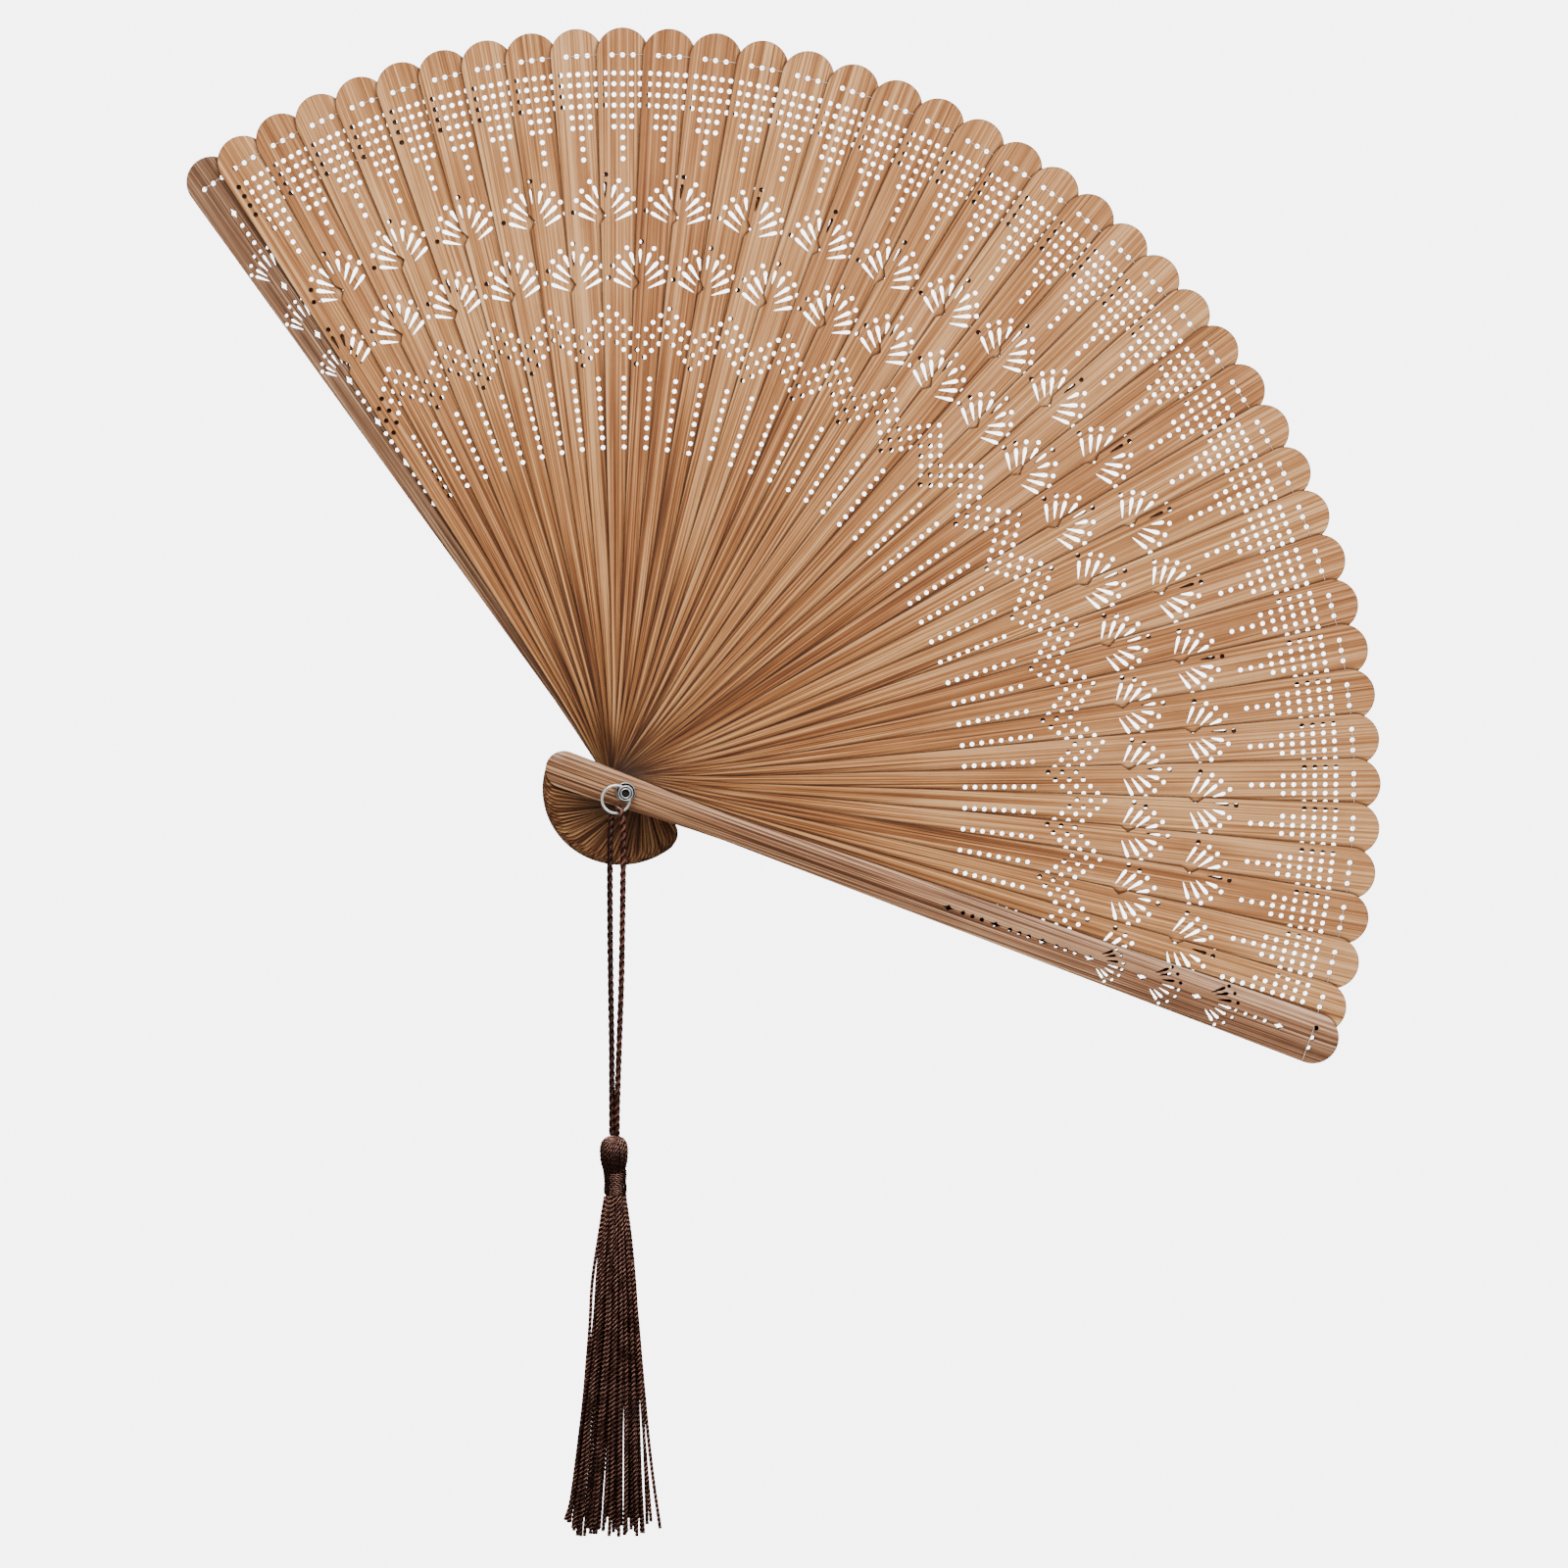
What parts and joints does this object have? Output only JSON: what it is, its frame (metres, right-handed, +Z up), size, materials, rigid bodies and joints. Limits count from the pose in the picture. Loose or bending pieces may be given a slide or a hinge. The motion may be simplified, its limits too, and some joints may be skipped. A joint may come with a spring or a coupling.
{
  "type": "folding fan",
  "caption": "Brise folding fan of pierced thin wooden leaves between two cambered guards on one rivet, with a steel ring, a doubled cord and a thread tassel.",
  "frame": {"origin": "on the rivet's axis, half way through the stack of blades", "axes": "+Y along the rivet from the front guard towards the back guard, +Z up with the fan open and the tassel hanging down, +X to the right seen from the front"},
  "size_m": [0.2991, 0.0409, 0.3765],
  "materials": {
    "leaf_wood": "smooth bare wood with fine straight grain and dark scorched cut edges",
    "guard_wood": "darker reddish brown wood, polished to a soft sheen, straight grain",
    "rivet_steel": "bright nickel plating",
    "ring_steel": "bright nickel plating",
    "cord": "two-ply twisted cord, dark reddish brown with a slight sheen",
    "tassel_thread": "dark brown twisted rayon threads with coppery highlights",
    "tassel_binding": "dark brown thread wound in close turns"
  },
  "bodies": {
    "back": {"back_guard": "guard_wood"},
    "leaf_01": {"leaf_01": "leaf_wood"},
    "leaf_02": {"leaf_02": "leaf_wood"},
    "leaf_03": {"leaf_03": "leaf_wood"},
    "leaf_04": {"leaf_04": "leaf_wood"},
    "leaf_05": {"leaf_05": "leaf_wood"},
    "leaf_06": {"leaf_06": "leaf_wood"},
    "leaf_07": {"leaf_07": "leaf_wood"},
    "leaf_08": {"leaf_08": "leaf_wood"},
    "leaf_09": {"leaf_09": "leaf_wood"},
    "leaf_10": {"leaf_10": "leaf_wood"},
    "leaf_11": {"leaf_11": "leaf_wood"},
    "leaf_12": {"leaf_12": "leaf_wood"},
    "leaf_13": {"leaf_13": "leaf_wood"},
    "leaf_14": {"leaf_14": "leaf_wood"},
    "leaf_15": {"leaf_15": "leaf_wood"},
    "leaf_16": {"leaf_16": "leaf_wood"},
    "leaf_17": {"leaf_17": "leaf_wood"},
    "leaf_18": {"leaf_18": "leaf_wood"},
    "leaf_19": {"leaf_19": "leaf_wood"},
    "leaf_20": {"leaf_20": "leaf_wood"},
    "leaf_21": {"leaf_21": "leaf_wood"},
    "leaf_22": {"leaf_22": "leaf_wood"},
    "leaf_23": {"leaf_23": "leaf_wood"},
    "leaf_24": {"leaf_24": "leaf_wood"},
    "leaf_25": {"leaf_25": "leaf_wood"},
    "leaf_26": {"leaf_26": "leaf_wood"},
    "leaf_27": {"leaf_27": "leaf_wood"},
    "leaf_28": {"leaf_28": "leaf_wood"},
    "leaf_29": {"leaf_29": "leaf_wood"},
    "leaf_30": {"leaf_30": "leaf_wood"},
    "leaf_31": {"leaf_31": "leaf_wood"},
    "leaf_32": {"leaf_32": "leaf_wood"},
    "leaf_33": {"leaf_33": "leaf_wood"},
    "leaf_34": {"leaf_34": "leaf_wood"},
    "leaf_35": {"leaf_35": "leaf_wood"},
    "leaf_36": {"leaf_36": "leaf_wood"},
    "leaf_37": {"leaf_37": "leaf_wood"},
    "leaf_38": {"leaf_38": "leaf_wood"},
    "leaf_39": {"leaf_39": "leaf_wood"},
    "leaf_40": {"leaf_40": "leaf_wood"},
    "front": {"front_guard": "guard_wood"},
    "rivet": {"rivet_pin": "rivet_steel", "rivet_cap": "rivet_steel", "front_washer": "rivet_steel", "back_washer": "rivet_steel", "hanging_ring": "ring_steel"},
    "cord": {"hanging_cord": "cord"},
    "tassel": {"tassel_head": "tassel_thread", "tassel_binding": "tassel_binding", "tassel_skirt": "tassel_thread"}
  },
  "joints": [
    {"name": "fold", "type": "hinge", "parent": "back", "child": "front", "pos_m": [0, -0.01446, 0], "axis": [0, -1, 0], "range_deg": [0, 144.3]},
    {"name": "leaf_01_turn", "type": "hinge", "parent": "back", "child": "leaf_01", "pos_m": [0, 0.01307, 0], "axis": [0, -1, 0], "range_deg": [0, 2.95]},
    {"name": "leaf_02_turn", "type": "hinge", "parent": "back", "child": "leaf_02", "pos_m": [0, 0.01239, 0], "axis": [0, -1, 0], "range_deg": [0, 6.45]},
    {"name": "leaf_03_turn", "type": "hinge", "parent": "back", "child": "leaf_03", "pos_m": [0, 0.01172, 0], "axis": [0, -1, 0], "range_deg": [0, 9.91]},
    {"name": "leaf_04_turn", "type": "hinge", "parent": "back", "child": "leaf_04", "pos_m": [0, 0.01106, 0], "axis": [0, -1, 0], "range_deg": [0, 13.34]},
    {"name": "leaf_05_turn", "type": "hinge", "parent": "back", "child": "leaf_05", "pos_m": [0, 0.01039, 0], "axis": [0, -1, 0], "range_deg": [0, 16.76]},
    {"name": "leaf_06_turn", "type": "hinge", "parent": "back", "child": "leaf_06", "pos_m": [0, 0.00971, 0], "axis": [0, -1, 0], "range_deg": [0, 20.18]},
    {"name": "leaf_07_turn", "type": "hinge", "parent": "back", "child": "leaf_07", "pos_m": [0, 0.00904, 0], "axis": [0, -1, 0], "range_deg": [0, 23.63]},
    {"name": "leaf_08_turn", "type": "hinge", "parent": "back", "child": "leaf_08", "pos_m": [0, 0.00838, 0], "axis": [0, -1, 0], "range_deg": [0, 27.12]},
    {"name": "leaf_09_turn", "type": "hinge", "parent": "back", "child": "leaf_09", "pos_m": [0, 0.00771, 0], "axis": [0, -1, 0], "range_deg": [0, 30.66]},
    {"name": "leaf_10_turn", "type": "hinge", "parent": "back", "child": "leaf_10", "pos_m": [0, 0.00703, 0], "axis": [0, -1, 0], "range_deg": [0, 34.25]},
    {"name": "leaf_11_turn", "type": "hinge", "parent": "back", "child": "leaf_11", "pos_m": [0, 0.00636, 0], "axis": [0, -1, 0], "range_deg": [0, 37.88]},
    {"name": "leaf_12_turn", "type": "hinge", "parent": "back", "child": "leaf_12", "pos_m": [0, 0.0057, 0], "axis": [0, -1, 0], "range_deg": [0, 41.55]},
    {"name": "leaf_13_turn", "type": "hinge", "parent": "back", "child": "leaf_13", "pos_m": [0, 0.00502, 0], "axis": [0, -1, 0], "range_deg": [0, 45.22]},
    {"name": "leaf_14_turn", "type": "hinge", "parent": "back", "child": "leaf_14", "pos_m": [0, 0.00436, 0], "axis": [0, -1, 0], "range_deg": [0, 48.88]},
    {"name": "leaf_15_turn", "type": "hinge", "parent": "back", "child": "leaf_15", "pos_m": [0, 0.00368, 0], "axis": [0, -1, 0], "range_deg": [0, 52.52]},
    {"name": "leaf_16_turn", "type": "hinge", "parent": "back", "child": "leaf_16", "pos_m": [0, 0.00301, 0], "axis": [0, -1, 0], "range_deg": [0, 56.12]},
    {"name": "leaf_17_turn", "type": "hinge", "parent": "back", "child": "leaf_17", "pos_m": [0, 0.00234, 0], "axis": [0, -1, 0], "range_deg": [0, 59.67]},
    {"name": "leaf_18_turn", "type": "hinge", "parent": "back", "child": "leaf_18", "pos_m": [0, 0.00168, 0], "axis": [0, -1, 0], "range_deg": [0, 63.18]},
    {"name": "leaf_19_turn", "type": "hinge", "parent": "back", "child": "leaf_19", "pos_m": [0, 0.00101, 0], "axis": [0, -1, 0], "range_deg": [0, 66.65]},
    {"name": "leaf_20_turn", "type": "hinge", "parent": "back", "child": "leaf_20", "pos_m": [0, 0.00034, 0], "axis": [0, -1, 0], "range_deg": [0, 70.11]},
    {"name": "leaf_21_turn", "type": "hinge", "parent": "back", "child": "leaf_21", "pos_m": [0, -0.00034, 0], "axis": [0, -1, 0], "range_deg": [0, 73.56]},
    {"name": "leaf_22_turn", "type": "hinge", "parent": "back", "child": "leaf_22", "pos_m": [0, -0.00101, 0], "axis": [0, -1, 0], "range_deg": [0, 77.05]},
    {"name": "leaf_23_turn", "type": "hinge", "parent": "back", "child": "leaf_23", "pos_m": [0, -0.00168, 0], "axis": [0, -1, 0], "range_deg": [0, 80.57]},
    {"name": "leaf_24_turn", "type": "hinge", "parent": "back", "child": "leaf_24", "pos_m": [0, -0.00234, 0], "axis": [0, -1, 0], "range_deg": [0, 84.13]},
    {"name": "leaf_25_turn", "type": "hinge", "parent": "back", "child": "leaf_25", "pos_m": [0, -0.00301, 0], "axis": [0, -1, 0], "range_deg": [0, 87.75]},
    {"name": "leaf_26_turn", "type": "hinge", "parent": "back", "child": "leaf_26", "pos_m": [0, -0.00368, 0], "axis": [0, -1, 0], "range_deg": [0, 91.42]},
    {"name": "leaf_27_turn", "type": "hinge", "parent": "back", "child": "leaf_27", "pos_m": [0, -0.00436, 0], "axis": [0, -1, 0], "range_deg": [0, 95.12]},
    {"name": "leaf_28_turn", "type": "hinge", "parent": "back", "child": "leaf_28", "pos_m": [0, -0.00502, 0], "axis": [0, -1, 0], "range_deg": [0, 98.83]},
    {"name": "leaf_29_turn", "type": "hinge", "parent": "back", "child": "leaf_29", "pos_m": [0, -0.0057, 0], "axis": [0, -1, 0], "range_deg": [0, 102.54]},
    {"name": "leaf_30_turn", "type": "hinge", "parent": "back", "child": "leaf_30", "pos_m": [0, -0.00636, 0], "axis": [0, -1, 0], "range_deg": [0, 106.22]},
    {"name": "leaf_31_turn", "type": "hinge", "parent": "back", "child": "leaf_31", "pos_m": [0, -0.00703, 0], "axis": [0, -1, 0], "range_deg": [0, 109.87]},
    {"name": "leaf_32_turn", "type": "hinge", "parent": "back", "child": "leaf_32", "pos_m": [0, -0.00771, 0], "axis": [0, -1, 0], "range_deg": [0, 113.47]},
    {"name": "leaf_33_turn", "type": "hinge", "parent": "back", "child": "leaf_33", "pos_m": [0, -0.00838, 0], "axis": [0, -1, 0], "range_deg": [0, 117.02]},
    {"name": "leaf_34_turn", "type": "hinge", "parent": "back", "child": "leaf_34", "pos_m": [0, -0.00904, 0], "axis": [0, -1, 0], "range_deg": [0, 120.54]},
    {"name": "leaf_35_turn", "type": "hinge", "parent": "back", "child": "leaf_35", "pos_m": [0, -0.00971, 0], "axis": [0, -1, 0], "range_deg": [0, 124.04]},
    {"name": "leaf_36_turn", "type": "hinge", "parent": "back", "child": "leaf_36", "pos_m": [0, -0.01039, 0], "axis": [0, -1, 0], "range_deg": [0, 127.53]},
    {"name": "leaf_37_turn", "type": "hinge", "parent": "back", "child": "leaf_37", "pos_m": [0, -0.01106, 0], "axis": [0, -1, 0], "range_deg": [0, 131.05]},
    {"name": "leaf_38_turn", "type": "hinge", "parent": "back", "child": "leaf_38", "pos_m": [0, -0.01172, 0], "axis": [0, -1, 0], "range_deg": [0, 134.6]},
    {"name": "leaf_39_turn", "type": "hinge", "parent": "back", "child": "leaf_39", "pos_m": [0, -0.01239, 0], "axis": [0, -1, 0], "range_deg": [0, 138.2]},
    {"name": "leaf_40_turn", "type": "hinge", "parent": "back", "child": "leaf_40", "pos_m": [0, -0.01307, 0], "axis": [0, -1, 0], "range_deg": [0, 141.85]},
    {"name": "ring_turn", "type": "hinge", "parent": "back", "child": "rivet", "pos_m": [0, -0.01721, 0], "axis": [0, -1, 0], "range_deg": [-45, 25]},
    {"name": "cord_swing", "type": "hinge", "parent": "rivet", "child": "cord", "pos_m": [-0.00245, -0.01721, -0.0016], "axis": [0, -1, 0], "range_deg": [-40, 35]},
    {"name": "tassel_sway", "type": "hinge", "parent": "cord", "child": "tassel", "pos_m": [-0.0032, -0.01721, -0.0897], "axis": [1, 0, 0], "range_deg": [-28, 28]}
  ],
  "couplings": [
    {"joint": "leaf_01_turn", "follows": "fold", "ratio": 0.020443},
    {"joint": "leaf_02_turn", "follows": "fold", "ratio": 0.044712},
    {"joint": "leaf_03_turn", "follows": "fold", "ratio": 0.068687},
    {"joint": "leaf_04_turn", "follows": "fold", "ratio": 0.092452},
    {"joint": "leaf_05_turn", "follows": "fold", "ratio": 0.11613},
    {"joint": "leaf_06_turn", "follows": "fold", "ratio": 0.13984},
    {"joint": "leaf_07_turn", "follows": "fold", "ratio": 0.16374},
    {"joint": "leaf_08_turn", "follows": "fold", "ratio": 0.18793},
    {"joint": "leaf_09_turn", "follows": "fold", "ratio": 0.21245},
    {"joint": "leaf_10_turn", "follows": "fold", "ratio": 0.23734},
    {"joint": "leaf_11_turn", "follows": "fold", "ratio": 0.26252},
    {"joint": "leaf_12_turn", "follows": "fold", "ratio": 0.2879},
    {"joint": "leaf_13_turn", "follows": "fold", "ratio": 0.31336},
    {"joint": "leaf_14_turn", "follows": "fold", "ratio": 0.33876},
    {"joint": "leaf_15_turn", "follows": "fold", "ratio": 0.36396},
    {"joint": "leaf_16_turn", "follows": "fold", "ratio": 0.38889},
    {"joint": "leaf_17_turn", "follows": "fold", "ratio": 0.41349},
    {"joint": "leaf_18_turn", "follows": "fold", "ratio": 0.4378},
    {"joint": "leaf_19_turn", "follows": "fold", "ratio": 0.46187},
    {"joint": "leaf_20_turn", "follows": "fold", "ratio": 0.48582},
    {"joint": "leaf_21_turn", "follows": "fold", "ratio": 0.5098},
    {"joint": "leaf_22_turn", "follows": "fold", "ratio": 0.53392},
    {"joint": "leaf_23_turn", "follows": "fold", "ratio": 0.55832},
    {"joint": "leaf_24_turn", "follows": "fold", "ratio": 0.58305},
    {"joint": "leaf_25_turn", "follows": "fold", "ratio": 0.60813},
    {"joint": "leaf_26_turn", "follows": "fold", "ratio": 0.63354},
    {"joint": "leaf_27_turn", "follows": "fold", "ratio": 0.65917},
    {"joint": "leaf_28_turn", "follows": "fold", "ratio": 0.6849},
    {"joint": "leaf_29_turn", "follows": "fold", "ratio": 0.71059},
    {"joint": "leaf_30_turn", "follows": "fold", "ratio": 0.73611},
    {"joint": "leaf_31_turn", "follows": "fold", "ratio": 0.76137},
    {"joint": "leaf_32_turn", "follows": "fold", "ratio": 0.78632},
    {"joint": "leaf_33_turn", "follows": "fold", "ratio": 0.81095},
    {"joint": "leaf_34_turn", "follows": "fold", "ratio": 0.83533},
    {"joint": "leaf_35_turn", "follows": "fold", "ratio": 0.85958},
    {"joint": "leaf_36_turn", "follows": "fold", "ratio": 0.88381},
    {"joint": "leaf_37_turn", "follows": "fold", "ratio": 0.90817},
    {"joint": "leaf_38_turn", "follows": "fold", "ratio": 0.93277},
    {"joint": "leaf_39_turn", "follows": "fold", "ratio": 0.95771},
    {"joint": "leaf_40_turn", "follows": "fold", "ratio": 0.983}
  ]
}
